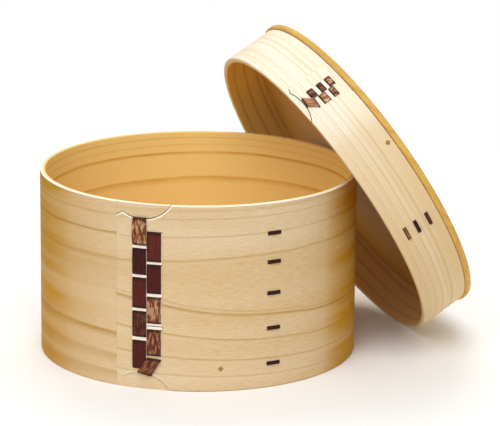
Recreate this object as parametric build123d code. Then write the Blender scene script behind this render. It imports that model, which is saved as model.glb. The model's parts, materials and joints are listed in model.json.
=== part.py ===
from build123d import *

import os
from dataclasses import dataclass
from math import cos, degrees, radians, sin

# A rice tub of bent wood, with its lid taken off and leaning on the tub's rim.
# Lengths are millimetres and angles are degrees. The origin is the centre of the tub's
# foot on the table, +Z is up and +X points at the side on which the lid leans.
# Angles about an axis are counted from +X towards +Y. Along a seam, arc lengths are
# counted to the right of its middle, as seen from outside with the axis upright.

# Tub
tub_radius = 120.0
tub_height = 140.0
tub_wall = 4.0
tub_seam_angle = -129.7
tub_bottom_height = 12.3
tub_bottom_thickness = 10.0

# Lid
lid_slip_clearance = 2.9
lid_wall = 4.4
lid_band_height = 39.6
lid_hollow_depth = 30.5
lid_seam_angle = -143.7
lid_board_edge = 4.9
lid_board_overhang = 1.6
lid_board_round = 1.6
lid_tilt = 59.1
lean_gap = 0.3

# Bent boards, whose ends taper to a thin tip where they lap
rim_round = 1.0
lap_tip = 0.3
glue_line = 0.1
tub_lap_length = 131.0
tub_tongue_reach = 24.3
tub_tongue_start = 18.3
tub_top_cut_depth = 11.2
tub_foot_cut_depth = 12.0
lid_lap_length = 158.0
lid_tongue_reach = 20.6
lid_tongue_start = 14.8
lid_cut_depth = 4.9

# Strips of cherry bark
bark_thickness = 0.9
bark_round = 0.5
tub_bark_width = 10.7
lid_bark_width = 8.6
tail_bark_width = 10.7
row_gap = 0.5
dash_height = 2.8
hidden_end = 7.0
knife_cut = 0.4
knife_overcut = 1.0
tub_tail_arc = 95.3
lid_tail_arc = 125.6

# Pegs of bamboo, square in section
peg_side = 3.0
peg_depth = 11.0
peg_sink = 0.4
peg_taper_share = 0.6
peg_count = 4
tub_peg_arc = 54.8
lid_peg_arc = 60.5

# Fits and finish
seat_gap = 0.1
slit_clearance = 0.1
board_round = 0.8
overrun = 2.0

# Lower and upper end of each stitch, as shares of the band's height, from the top down
tub_left_shares = [(0.777, 0.925), (0.620, 0.761), (0.439, 0.604), (0.283, 0.423), (0.110, 0.264)]
tub_right_shares = [(0.694, 0.855), (0.523, 0.680), (0.361, 0.505), (0.186, 0.329)]
lid_left_shares = [(0.711, 0.839), (0.521, 0.638), (0.297, 0.437)]
lid_right_shares = [(0.644, 0.762), (0.414, 0.570)]

# Middle of each short dash at the inner end of the board, counted in the same way
tub_tail_shares = [0.837, 0.682, 0.514, 0.324, 0.132]
lid_tail_shares = [0.760, 0.495, 0.258]

# Corners of the slanting turn that joins the rows: lower left, lower right, upper right
# and upper left. Each is a share of the strip's width and a share of the band's height.
tub_turn_shares = [(-0.645, 0.089), (0.341, 0.073), (1.02, 0.168), (0.028, 0.174)]
lid_turn_shares = [(-0.69, 0.137), (0.29, 0.110), (0.98, 0.314), (0.03, 0.337)]

# Height of a spare knife slit in the tub's right row
tub_spare_slit_share = 0.347

# Cut corner of a tongue. The first sweep starts at the band's edge, passes sweep_shares and
# ends at its deepest point. A shallower dip runs on to a small horn beside the board's end.
# Each pair is a share of the tongue's start or reach and a share of the cut's depth.
sweep_shares = (0.45, 0.80)
deepest_shares = (0.30, 1.0)
dip_shares = (0.56, 0.90)
horn_shares = (0.79, 0.66)
end_shares = (1.0, 0.93)


@dataclass
class Band:
    """A board bent into a ring, with its two thinned ends lapped over each other."""

    radius: float
    wall: float
    height: float
    seam_angle: float
    lap_length: float
    tongue_reach: float
    tongue_start: float
    low_cut_depth: float
    high_cut_depth: float

    @property
    def bore(self):
        return self.radius - self.wall

    @property
    def outer_end(self):
        return self.angle_at(-self.tongue_reach)

    @property
    def inner_end(self):
        return self.angle_at(self.lap_length - self.tongue_reach)

    def angle_at(self, arc):
        return self.seam_angle + degrees(arc / self.radius)

    def heights(self, pairs):
        return [(low * self.height, high * self.height) for low, high in pairs]


@dataclass
class Sewing:
    """The bark strips of one band: two rows joined by a turn in front, and a row of dashes."""

    band: Band
    width: float
    left_shares: list
    right_shares: list
    turn_shares: list
    tail_arc: float
    tail_shares: list

    def row_edges(self, side):
        centre = side * (self.width + row_gap) / 2
        return centre - self.width / 2, centre + self.width / 2

    def turn_corners(self):
        return [(across * self.width, up * self.band.height) for across, up in self.turn_shares]

    def dashes(self):
        centres = [share * self.band.height for share in self.tail_shares]
        return [(centre - dash_height / 2, centre + dash_height / 2) for centre in centres]


@dataclass
class PegRing:
    """Pegs at equal steps round a band, through it and into the edge of a board."""

    band: Band
    arc: float
    height: float


tub = Band(
    radius=tub_radius,
    wall=tub_wall,
    height=tub_height,
    seam_angle=tub_seam_angle,
    lap_length=tub_lap_length,
    tongue_reach=tub_tongue_reach,
    tongue_start=tub_tongue_start,
    low_cut_depth=tub_foot_cut_depth,
    high_cut_depth=tub_top_cut_depth,
)
lid = Band(
    radius=tub_radius + lid_slip_clearance + lid_wall,
    wall=lid_wall,
    height=lid_band_height,
    seam_angle=lid_seam_angle,
    lap_length=lid_lap_length,
    tongue_reach=lid_tongue_reach,
    tongue_start=lid_tongue_start,
    low_cut_depth=lid_cut_depth,
    high_cut_depth=lid_cut_depth,
)
tub_sewing = Sewing(
    tub, tub_bark_width, tub_left_shares, tub_right_shares, tub_turn_shares, tub_tail_arc, tub_tail_shares
)
lid_sewing = Sewing(
    lid, lid_bark_width, lid_left_shares, lid_right_shares, lid_turn_shares, lid_tail_arc, lid_tail_shares
)
tub_peg_ring = PegRing(tub, tub_peg_arc, tub_bottom_height + tub_bottom_thickness / 2)
lid_peg_ring = PegRing(lid, lid_peg_arc, (lid_hollow_depth + lid_band_height) / 2)


def polar(radius, angle):
    """Point at a radius and an angle about the axis."""
    return radius * cos(radians(angle)), radius * sin(radians(angle))


def facing(angle, radius=0, height=0):
    """Plane that faces out from the axis, with its Y direction up."""
    out_x, out_y = polar(1, angle)
    return Plane(origin=(*polar(radius, angle), height), x_dir=(-out_y, out_x, 0), z_dir=(out_x, out_y, 0))


def box_face(left, right, low, high):
    """Upright rectangle between two sides and two heights."""
    return Pos((left + right) / 2, (low + high) / 2) * Rectangle(right - left, high - low)


def shell(inner, outer, low, high):
    """Plain ring between two radii and two heights."""
    return revolve(Plane.XZ * box_face(inner, outer, low, high), Axis.Z)


def wrapped(band, centre_arc, face, inner, outer):
    """The part of the shell between two radii that a flat face covers, seen from outside."""
    block = extrude(facing(band.angle_at(centre_arc)) * face, band.radius + overrun)
    return block & shell(inner, outer, -overrun, band.height + overrun)


def hole(band, centre_arc, face):
    """Cutter through the wall, larger than the flat face by the slit clearance."""
    grown = offset(face, slit_clearance, kind=Kind.INTERSECTION)
    return wrapped(band, centre_arc, grown, band.bore - overrun, band.radius + overrun)


def minus(body, cutters):
    for cutter in cutters:
        body -= cutter
    return body


# Bent boards


def lap_face(band, inner_shift, outer_shift):
    """Face between two arcs that follow the slanting joint from the outer to the inner end."""
    start = band.radius - lap_tip
    end = band.bore + lap_tip
    angles = (band.outer_end, (band.outer_end + band.inner_end) / 2, band.inner_end)
    radii = (start, (start + end) / 2, end)
    near = ThreePointArc(*[polar(radius + inner_shift, angle) for radius, angle in zip(radii, angles)])
    far = ThreePointArc(*[polar(radius + outer_shift, angle) for radius, angle in zip(radii, angles)])
    return make_face([near, far, Line(near @ 0, far @ 0), Line(near @ 1, far @ 1)])


def glue_joint(band):
    """Hairline gap between the two layers, open at both ends of the board."""
    reach = lap_tip + overrun
    outer_mouth = Pos(band.radius - lap_tip, 0) * Rectangle(reach, glue_line, align=(Align.MIN, Align.CENTER))
    inner_mouth = Pos(band.bore + lap_tip, 0) * Rectangle(reach, glue_line, align=(Align.MAX, Align.CENTER))
    face = lap_face(band, -glue_line / 2, glue_line / 2)
    face += Rot(0, 0, band.outer_end) * outer_mouth
    face += Rot(0, 0, band.inner_end) * inner_mouth
    return extrude(face, band.height)


def corner_cut(band, depth):
    """Flat outline of the wood taken off one corner of the tongue, from an edge at height 0."""
    reach = -band.tongue_reach
    start = (band.tongue_start, 0)
    middle = (band.tongue_start * sweep_shares[0], depth * sweep_shares[1])
    deepest, dip, horn, end = [
        (reach * along, depth * up) for along, up in (deepest_shares, dip_shares, horn_shares, end_shares)
    ]
    sweep = ThreePointArc(start, middle, deepest)
    rise = ThreePointArc(deepest, dip, horn)
    rest = Polyline(horn, end, (reach, -overrun), (band.tongue_start, -overrun), start)
    return make_face([sweep, rise, rest])


def tongue_cuts(band):
    """Both corner cuts, as deep as the layer that lies on the slanting joint."""
    layer = extrude(lap_face(band, glue_line / 2, band.wall + overrun), band.height)
    low = corner_cut(band, band.low_cut_depth)
    high = Pos(0, band.height) * mirror(corner_cut(band, band.high_cut_depth), Plane.XZ)
    return [wrapped(band, 0, face, band.bore, band.radius + overrun) & layer for face in (low, high)]


def bent_board(band):
    """Ring of wood with rounded edges, its lap joint and the tongue's cut corners."""
    section = Pos((band.bore + band.radius) / 2, band.height / 2) * RectangleRounded(band.wall, band.height, rim_round)
    return minus(revolve(Plane.XZ * section, Axis.Z), [glue_joint(band), *tongue_cuts(band)])


# Bark strips


def dives(stitches):
    """Heights at which a strip passes through the wall: both ends of each stitch."""
    spans = []
    for low, high in stitches:
        spans.append((low, low + bark_thickness))
        spans.append((high - bark_thickness, high))
    return spans


def strip(band, edges, stitches, hidden_runs):
    """Strip of bark, drawn from the side and turned about the axis through its width."""
    inside = (band.bore - bark_thickness, band.bore)
    outside = (band.radius, band.radius + bark_thickness)
    faces = [box_face(*outside, low, high) for low, high in stitches]
    faces += [box_face(inside[0], outside[1], low, high) for low, high in dives(stitches)]
    faces += [box_face(*inside, low, high) for low, high in hidden_runs]
    profile = Face.fuse(*faces)
    profile = fillet(profile.vertices().group_by(Axis.X)[-1], bark_round)
    start, end = [band.angle_at(edge) for edge in edges]
    return Rot(0, 0, start) * revolve(Plane.XZ * profile, Axis.Z, end - start)


def runs_between(stitches):
    """Hidden runs on the inside, from the foot of each stitch to the head of the next."""
    pairs = zip(stitches, stitches[1:])
    return [(lower[1] - bark_thickness, upper[0] + bark_thickness) for upper, lower in pairs]


def row(sewing, side, shares):
    """One row of long stitches. Its upper end is folded down behind the first stitch."""
    stitches = sewing.band.heights(shares)
    head = stitches[0][1]
    hidden = [*runs_between(stitches), (head - hidden_end, head)]
    return strip(sewing.band, sewing.row_edges(side), stitches, hidden)


def outline(points):
    return make_face(Polyline(*points, close=True))


def turn_dives(sewing):
    """Outlines of the two slanted slits at the ends of the turn."""
    low_left, low_right, high_right, high_left = sewing.turn_corners()

    def raised(point, rise):
        return point[0], point[1] + rise

    lower = [low_left, low_right, raised(low_right, bark_thickness), raised(low_left, bark_thickness)]
    upper = [raised(high_left, -bark_thickness), raised(high_right, -bark_thickness), high_right, high_left]
    return outline(lower), outline(upper)


def turn(sewing):
    """The turn outside, laid over the foot of the left row, and its two hidden runs."""
    band = sewing.band
    inside = (band.bore - bark_thickness, band.bore)
    top = band.radius + 2 * bark_thickness
    low_left, low_right, high_right, high_left = sewing.turn_corners()
    body = wrapped(band, 0, outline([low_left, low_right, high_right, high_left]), band.radius + bark_thickness, top)
    for dive in turn_dives(sewing):
        body += wrapped(band, 0, dive, band.bore, top)
    left, right = sewing.row_edges(-1)
    foot = sewing.left_shares[-1][0] * band.height + bark_thickness
    body += wrapped(band, 0, outline([(left, foot), low_left, low_right, (right, foot)]), *inside)
    left, right = sewing.row_edges(1)
    foot = sewing.right_shares[-1][0] * band.height + bark_thickness
    head = (high_left[1] - bark_thickness, high_right[1] - bark_thickness)
    body += wrapped(band, 0, outline([(left, head[0]), (right, head[1]), (right, foot), (left, foot)]), *inside)
    return body


def front_lace(sewing):
    """One strip of bark: down the left row, over the turn and up the right row."""
    return row(sewing, -1, sewing.left_shares) + turn(sewing) + row(sewing, 1, sewing.right_shares)


def tail_lace(sewing):
    """The strip at the board's inner end: short dashes outside and long runs inside."""
    dashes = sewing.dashes()
    ends = [(dashes[0][1] - bark_thickness, dashes[0][1] + dash_height)]
    ends.append((dashes[-1][0] - dash_height, dashes[-1][0] + bark_thickness))
    edges = (sewing.tail_arc - tail_bark_width / 2, sewing.tail_arc + tail_bark_width / 2)
    return strip(sewing.band, edges, dashes, [*runs_between(dashes), *ends])


def slits(sewing):
    """Every knife slit that the strips of one band pass through."""
    band = sewing.band
    cutters = []
    for side, shares in ((-1, sewing.left_shares), (1, sewing.right_shares)):
        edges = sewing.row_edges(side)
        cutters += [hole(band, 0, box_face(*edges, *span)) for span in dives(band.heights(shares))]
    cutters += [hole(band, 0, face) for face in turn_dives(sewing)]
    half = tail_bark_width / 2
    cutters += [hole(band, sewing.tail_arc, box_face(-half, half, *span)) for span in dives(sewing.dashes())]
    return cutters


def knife_marks():
    """Bare cuts in the tub's right row: where the knife ran past the strip, and a slit not used."""
    left, right = tub_sewing.row_edges(1)
    end = right + knife_overcut
    marks = [hole(tub, 0, box_face(right, end, high - knife_cut, high)) for low, high in tub.heights(tub_right_shares)]
    low = tub_spare_slit_share * tub.height - knife_cut / 2
    marks.append(hole(tub, 0, box_face(left, end, low, low + knife_cut)))
    return marks


# Pegs


def pegs(ring, side=peg_side, head=-peg_sink):
    """Square pegs set on edge, tapered to a blunt point inside the board."""
    band = ring.band
    shank = Rot(0, 0, 45) * Rectangle(side, side)
    point = scale(shank, peg_taper_share)
    body = extrude(Pos(0, 0, -band.wall) * shank, band.wall + head)
    body += loft([Pos(0, 0, -band.wall - peg_depth) * point, Pos(0, 0, -band.wall) * shank])
    step = 360 / peg_count
    first = band.angle_at(ring.arc)
    return [facing(first + index * step, band.radius, ring.height) * body for index in range(peg_count)]


def peg_holes(ring):
    return pegs(ring, peg_side + seat_gap, overrun)


# Whole pieces


def tub_band():
    return minus(bent_board(tub), [*slits(tub_sewing), *knife_marks(), *peg_holes(tub_peg_ring)])


def lid_band():
    return minus(bent_board(lid), [*slits(lid_sewing), *peg_holes(lid_peg_ring)])


def notch(band, centre_arc, left, right, low, high):
    """Room in a board's edge for a strip that runs between the board and the band."""
    face = offset(box_face(left, right, low, high), slit_clearance, kind=Kind.INTERSECTION)
    return wrapped(band, centre_arc, face, band.bore - bark_thickness - slit_clearance, band.radius)


def tub_bottom():
    """Raised bottom: a disc with rounded edges that fits the band and hangs on the pegs."""
    radius = tub.bore - seat_gap
    span = (tub_bottom_height, tub_bottom_height + tub_bottom_thickness)
    section = box_face(0, radius, *span)
    section = fillet(section.vertices().group_by(Axis.X)[-1], board_round)
    through = (span[0] - overrun, span[1] + overrun)
    left = tub_sewing.row_edges(-1)[0]
    right = tub_sewing.turn_corners()[1][0]
    half = tail_bark_width / 2
    notches = [notch(tub, 0, left, right, *through), notch(tub, tub_tail_arc, -half, half, *through)]
    return minus(revolve(Plane.XZ * section, Axis.Z), [*notches, *peg_holes(tub_peg_ring)])


def lid_top():
    """Top board of the lid, rebated so that its thick middle drops into the band."""
    plug = lid.bore - seat_gap
    edge = lid.radius + lid_board_overhang
    shoulder = lid.height
    top = lid.height + lid_board_edge
    low = lid_hollow_depth
    section = outline([(0, low), (plug, low), (plug, shoulder), (edge, shoulder), (edge, top), (0, top)])
    section = fillet(section.vertices().group_by(Axis.X)[-1], lid_board_round)
    below = (low - overrun, shoulder - slit_clearance)
    half = tail_bark_width / 2
    notches = [notch(lid, 0, *lid_sewing.row_edges(-1), *below), notch(lid, lid_tail_arc, -half, half, *below)]
    return minus(revolve(Plane.XZ * section, Axis.Z), [*notches, *peg_holes(lid_peg_ring)])


def lean():
    """Where the lid leans: its rim touches the table and its board lies at the tub's rim."""
    rise = sin(radians(lid_tilt))
    run = cos(radians(lid_tilt))
    drop = rim_round * (rise + run - 1)
    reach = (tub.height - rim_round + drop) * run + rim_round - lid_hollow_depth + lean_gap
    foot = tub.radius - rim_round + reach / rise
    return Pos(foot - lid.radius * run, 0, lid.radius * rise - drop) * Rot(0, lid_tilt, 0)


def main():
    place = lean()
    nodes = {
        "tub_band": tub_band(),
        "tub_bottom": tub_bottom(),
        "tub_front_lace": front_lace(tub_sewing),
        "tub_tail_lace": tail_lace(tub_sewing),
        "tub_pegs": Compound(children=pegs(tub_peg_ring)),
        "lid_band": place * lid_band(),
        "lid_top": place * lid_top(),
        "lid_front_lace": place * front_lace(lid_sewing),
        "lid_tail_lace": place * tail_lace(lid_sewing),
        "lid_pegs": Compound(children=[place * peg for peg in pegs(lid_peg_ring)]),
    }
    os.makedirs("parts", exist_ok=True)
    for name, shape in nodes.items():
        export_step(shape, f"parts/{name}.step")


main()
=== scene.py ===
import json
from math import atan2, pi, radians

import bpy
from bpy.props import FloatProperty, FloatVectorProperty, PointerProperty
from bpy.types import Operator, Panel, PropertyGroup
from mathutils import Matrix, Vector


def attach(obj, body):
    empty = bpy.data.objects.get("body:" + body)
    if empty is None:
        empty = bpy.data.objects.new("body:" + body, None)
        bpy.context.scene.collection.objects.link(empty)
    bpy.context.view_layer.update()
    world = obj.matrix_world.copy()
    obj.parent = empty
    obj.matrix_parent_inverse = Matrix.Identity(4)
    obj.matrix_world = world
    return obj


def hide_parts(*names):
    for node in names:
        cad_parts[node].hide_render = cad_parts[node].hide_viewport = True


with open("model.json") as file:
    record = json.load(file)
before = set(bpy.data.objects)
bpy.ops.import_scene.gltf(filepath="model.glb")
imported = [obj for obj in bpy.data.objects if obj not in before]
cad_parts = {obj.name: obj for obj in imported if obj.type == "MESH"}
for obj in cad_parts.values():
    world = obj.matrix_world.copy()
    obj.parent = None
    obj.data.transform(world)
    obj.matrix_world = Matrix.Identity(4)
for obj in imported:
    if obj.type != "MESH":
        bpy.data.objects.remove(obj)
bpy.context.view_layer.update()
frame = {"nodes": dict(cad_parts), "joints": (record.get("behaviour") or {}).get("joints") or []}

bl_info = {
    "name": "Bent-wood rice tub",
    "version": (1, 0, 0),
    "blender": (4, 5, 0),
    "location": "3D View > Sidebar > Rice tub",
    "description": "Wood, sewn bark, pegs, floor and light for a round rice tub with its lid",
    "category": "Object",
}

# Everything is in metres in the CAD frame, and MM is one millimetre.
MM = 0.001
LID_AXIS = Vector(frame["joints"][0]["axis"])
LID_TILT = atan2(LID_AXIS.x, LID_AXIS.z)

# Kinds of node that come up most, and what a Mix of two colours takes.
MATH, VECTOR, MIX, RANGE = ("ShaderNode" + kind for kind in ("Math", "VectorMath", "Mix", "MapRange"))
COLOURS = {"take": 2, "data_type": "RGBA"}


def linear(hex_colour):
    """Linear colour of an sRGB hex value."""
    channels = [int(hex_colour[i:i + 2], 16) / 255 for i in (1, 3, 5)]
    return [c / 12.92 if c <= 0.04045 else ((c + 0.055) / 1.055) ** 2.4 for c in channels]


def rgba(colour):
    return (*colour, 1.0)


def plug(tree, node, links):
    """Links a node's inputs, or sets those that get a plain value.

    Inputs go by name or number: a Mix has its factor at 0 and two colours at 6 and 7, and a Map Range has
    its value at 0, the range it comes from at 1 and 2 and the one it goes to at 3 and 4."""
    for socket, value in links.items():
        if isinstance(value, bpy.types.NodeSocket):
            tree.links.new(value, node.inputs[socket])
        else:
            node.inputs[socket].default_value = value


def add(tree, kind, links=None, take=0, **settings):
    """Adds one node with its settings and inputs. Returns the output taken, or the node for None."""
    made = tree.nodes.new(kind)
    for name, value in settings.items():
        setattr(made, name, value)
    plug(tree, made, links or {})
    return made if take is None else made.outputs[take]


# Sizes and colours


def length(name, description, millimetres):
    return FloatProperty(
        name=name, description=description, default=millimetres * MM, unit="LENGTH", precision=4
    )


def angle(name, description, value):
    return FloatProperty(name=name, description=description, default=value, unit="ROTATION")


def position(name, description, value):
    return FloatVectorProperty(name=name, description=description, default=value, subtype="TRANSLATION")


def colour(name, description, hex_colour):
    return FloatVectorProperty(
        name=name, description=description, default=linear(hex_colour), subtype="COLOR", min=0, max=1
    )


class RiceTubBand(PropertyGroup):
    """A bent board: its sizes, where its lap lies and how far its tongue is cut."""

    radius: length("Radius", "Outside radius of the band", 120)
    wall: length("Wall", "Thickness of the bent board", 4)
    height: length("Height", "Height of the band", 140)
    seam: angle("Seam", "Angle of the middle of the sewn seam, from +X towards +Y", radians(-129.7))
    reach: length("Tongue reach", "From the middle of the seam to the outer end of the board", 24.3)
    lap: length("Lap", "Length of the lap from the outer to the inner end", 131)
    cut_start: length("Cut start", "From the middle of the seam to where a corner cut starts", 18.3)
    low_cut: length("Low cut", "Depth of the corner cut at the foot", 12)
    high_cut: length("High cut", "Depth of the corner cut at the top", 11.2)
    strip: length("Strip width", "Width of the strip of bark in front", 10.7)
    tail_strip: length("Tail strip width", "Width of the strip of bark at the board's inner end", 10.7)
    tail_place: length("Tail strip place", "From the middle of the seam to the middle of that strip", 95.3)


class RiceTubWood(PropertyGroup):
    """Colours of the planed cypress."""

    pale: colour("Early wood", "Pale wood between the growth rings", "#E6D2B1")
    warm: colour("Warm wood", "Warmer wood in broad bands", "#CFA768")
    # On the tub this gold also serves as painted shade at its left and right sides.
    gold: colour("Golden wood", "Golden wood towards the heart of the tree", "#C08A1C")
    line: colour("Late wood", "Thin dark line at the end of each growth ring", "#B58C45")
    gold_line: colour("Golden late wood", "Growth-ring lines in the golden wood", "#A8740E")
    inner: colour("Inner face", "Golden wood of the tub's inner face", "#FFE094")
    inner_first: colour("Inner face, first part", "Golden wood near the board's inner end", "#FFE094")
    inner_line: colour("Inner rings", "Growth rings of the tub's inner face", "#D6A030")
    lid_pale: colour("Lid sapwood", "Nearly white wood near the bark of the tree", "#FDF8EA")
    lid_warm: colour("Lid warm wood", "Slightly warmer streaks in the lid's sapwood", "#F3E2BE")
    lid_gold: colour("Lid golden wood", "Light golden wood of the lid's lower part", "#D2A242")
    lid_line: colour("Lid late wood", "Golden ring lines in the lid's sapwood", "#C8A03C")
    lid_inner: colour("Lid inner face", "Golden wood of the lid's inner face", "#F4D278")
    lid_inner_first: colour("Lid inner face, first part", "Browner wood near the inner end", "#E2B67A")
    lid_inner_line: colour("Lid inner rings", "Growth rings of the lid's inner face", "#A87A38")
    # Also the painted highlight on the tongue's cut edges and on the top of the rim.
    cut: colour("Cut wood", "Freshly cut wood at the knife slits", "#FFF6E4")
    shadow: colour("Cut edge", "Darkened line beside a cut edge", "#6A4A22")
    board: colour("Board", "Golden wood of the round boards", "#E3B65C")
    # Also the colour of the painted shade on the lower part of the boards.
    board_line_and_shade: colour("Board ring", "Growth rings of the round boards", "#C08A3A")


class RiceTubBark(PropertyGroup):
    """Strips of cherry bark."""

    thickness: length("Thickness", "Thickness of a strip", 0.9)
    bend: length("Bend", "Radius at which a strip bends into a slit", 0.75)
    crown: length("Crown", "How much a stitch stands proud along its middle", 0.25)
    gap: length("Row gap", "Between the left and the right row", 0.5)
    hidden_end: length("Hidden end", "Length of an end that is folded down inside", 7)
    dash: length("Dash", "Height of a short dash at the board's inner end", 2.8)
    # Also the colour of the painted shade where a stitch dives into its slit.
    dark: colour("Dark bark", "Polished dark bark", "#2E0907")
    red: colour("Red bark", "Reddish bark", "#551610")
    brown: colour("Brown bark", "Half scraped brown bark", "#74391C")
    light: colour("Light bark", "Scraped light bark", "#A0683A")
    cream: colour("Streak", "Pale streaks and flecks", "#E2B985")


class RiceTubPeg(PropertyGroup):
    """Bamboo pegs."""

    skin: colour("Bamboo", "End grain of a peg", "#B08038")
    fibre: colour("Fibre", "Dark fibres in the end grain", "#6E4A22")


class RiceTubStage(PropertyGroup):
    """Floor, lamps and camera."""

    floor: colour("Floor", "Pale floor", "#FDFCFA")
    reach: length("Floor reach", "Half the width of the floor", 3000)
    clear: length("Floor clear", "Where the floor starts to fade into the white backdrop", 330)
    gone: length("Floor gone", "Where the floor has faded into the white backdrop", 800)
    camera_place: position("Camera", "Place of the camera", (-0.7913, -1.9979, 0.6703))
    heading: angle("Heading", "Camera's turn about the vertical", radians(-22.653))
    pitch: angle("Pitch", "How far the camera looks down", radians(14.767))
    roll: angle("Roll", "Camera's turn about its own line of sight", radians(0.57))
    field: angle("Field of view", "Horizontal field of view", radians(9.787))
    key: FloatProperty(name="Key", description="Strength of the lamp in front", default=36, unit="POWER")
    back: FloatProperty(name="Back", description="Strength of the lamp behind", default=20, unit="POWER")
    sky: FloatProperty(name="Sky", description="Strength of the even light from all sides", default=0.5)


class RiceTubSettings(PropertyGroup):
    """All settings of the rice tub."""

    tub: PointerProperty(type=RiceTubBand)
    lid: PointerProperty(type=RiceTubBand)
    lid_place: position("Lid place", "Centre of the lid's rim", (0.1030, 0, 0.10886))
    wood: PointerProperty(type=RiceTubWood)
    bark: PointerProperty(type=RiceTubBark)
    peg: PointerProperty(type=RiceTubPeg)
    stage: PointerProperty(type=RiceTubStage)


def settings():
    return bpy.context.scene.rice_tub


def place_of(which):
    """Place and turn of the tub or the lid."""
    if which == "tub":
        return Vector((0, 0, 0)), Vector((0, 0, 0))
    return Vector(settings().lid_place), Vector((0, LID_TILT, 0))


# Materials

# A noise stays mostly between these two values.
NOISE_LOW, NOISE_HIGH = 0.3, 0.7
# How far away the inside of a wall takes its noise, so that it doesn't repeat the outside's.
INSIDE_SHIFT = 37.0
# Share of the warm streaks that the inside of a wall shows.
INSIDE_WARMTH = 0.2
# How strongly the painted shade darkens the wood beside a cut and on the lower part of a board.
CUT_SHADE = 0.8
UNDERSIDE_SHADE = 0.75


def new_material(name):
    """Empty node material with its shader and output."""
    made = bpy.data.materials.new(name)
    made.use_nodes = True
    tree = made.node_tree
    tree.nodes.clear()
    shader = add(tree, "ShaderNodeBsdfPrincipled", take=None)
    add(tree, "ShaderNodeOutputMaterial", {"Surface": shader.outputs[0]}, take=None)
    return made, tree, shader


def local_millimetres(tree, which):
    """Object coordinates in the tub's or the lid's own frame, in millimetres."""
    place, turn = place_of(which)
    coords = add(tree, "ShaderNodeTexCoord", take="Object")
    links = {"Vector": coords, "Location": place, "Rotation": turn, "Scale": (MM, MM, MM)}
    return add(tree, "ShaderNodeMapping", links, vector_type="TEXTURE")


def draw_rings(ramp, lines):
    """Sets a ramp to growth-ring lines: each its place, its width and its strength, all from 0 to 1.

    A line darkens over its width and ends sharply, as late wood does."""
    elements = ramp.color_ramp.elements
    while len(elements) > 1:
        elements.remove(elements[-1])
    elements[0].position = 0
    elements[0].color = (0, 0, 0, 1)
    for middle, width, strength in lines:
        for offset, value in ((-width, 0.0), (0, strength), (0.3 * width, 0.0)):
            element = elements.new(min(max(middle + offset, 0), 1))
            element.color = (value, value, value, 1)
    return ramp.outputs["Color"]


def draw_curve(node, points):
    """Sets a curve node to run through a few points, each from 0 to 1."""
    curve = node.mapping.curves[0]
    curve.points[0].location = points[0]
    curve.points[1].location = points[-1]
    for point in points[1:-1]:
        curve.points.new(*point)
    node.mapping.update()
    return node.outputs[0]


def circle_through(first, second, third):
    """Centre and radius of the circle through three flat points."""
    (ax, ay), (bx, by), (cx, cy) = first, second, third
    twice = 2 * (ax * (by - cy) + bx * (cy - ay) + cx * (ay - by))
    a, b, c = ax * ax + ay * ay, bx * bx + by * by, cx * cx + cy * cy
    x = (a * (by - cy) + b * (cy - ay) + c * (ay - by)) / twice
    y = (a * (cx - bx) + b * (ax - cx) + c * (bx - ax)) / twice
    return (x, y, 0), ((ax - x) ** 2 + (ay - y) ** 2) ** 0.5


def corner_arcs(band, shares):
    """Arcs that the cut corners of a tongue follow, in millimetres along and up the seam.

    Each has its centre, radius, start and end, and how clearly it shows: the share of the top or the foot."""
    start, reach = band.cut_start / MM, -band.reach / MM
    # Each arc runs through three points: a place along the seam and a share of the cut's depth.
    deepest, horn, tip = (0.30 * reach, 1.0), (0.79 * reach, 0.66), (reach, 0.93)
    sweep = ((start, 0.0), (0.45 * start, 0.80), deepest)
    rise = (deepest, (0.56 * reach, 0.90), horn)
    fall = (horn, (0.895 * reach, 0.81), tip)
    top, foot = (band.height / MM, -band.high_cut / MM), (0.0, band.low_cut / MM)
    arcs = []
    for (edge, depth), share in zip((top, foot), shares):
        for run in (sweep, rise, fall):
            points = [(along, edge + deep * depth) for along, deep in run]
            arcs.append((*circle_through(*points), points[0][0], points[2][0], share))
    return arcs


def cut_edges(tree, flat, along, arcs, inner, outer):
    """Mask of a thin band beside every cut edge, between two distances from it in millimetres."""
    mask = 0.0
    for centre, radius, start, end, share in arcs:
        far = add(tree, VECTOR, {0: flat, 1: centre}, "Value", operation="DISTANCE")
        middle, half = radius + (inner + outer) / 2, (outer - inner) / 2
        near = add(tree, MATH, {0: far, 1: middle, 2: half}, operation="COMPARE")
        middle, half = (start + end) / 2, abs(end - start) / 2
        within = add(tree, MATH, {0: along, 1: middle, 2: half}, operation="COMPARE")
        here = add(tree, MATH, {0: near, 1: within}, operation="MULTIPLY")
        here = add(tree, MATH, {0: here, 1: share}, operation="MULTIPLY")
        mask = add(tree, MATH, {0: here, 1: mask}, operation="MAXIMUM")
    return mask


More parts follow.
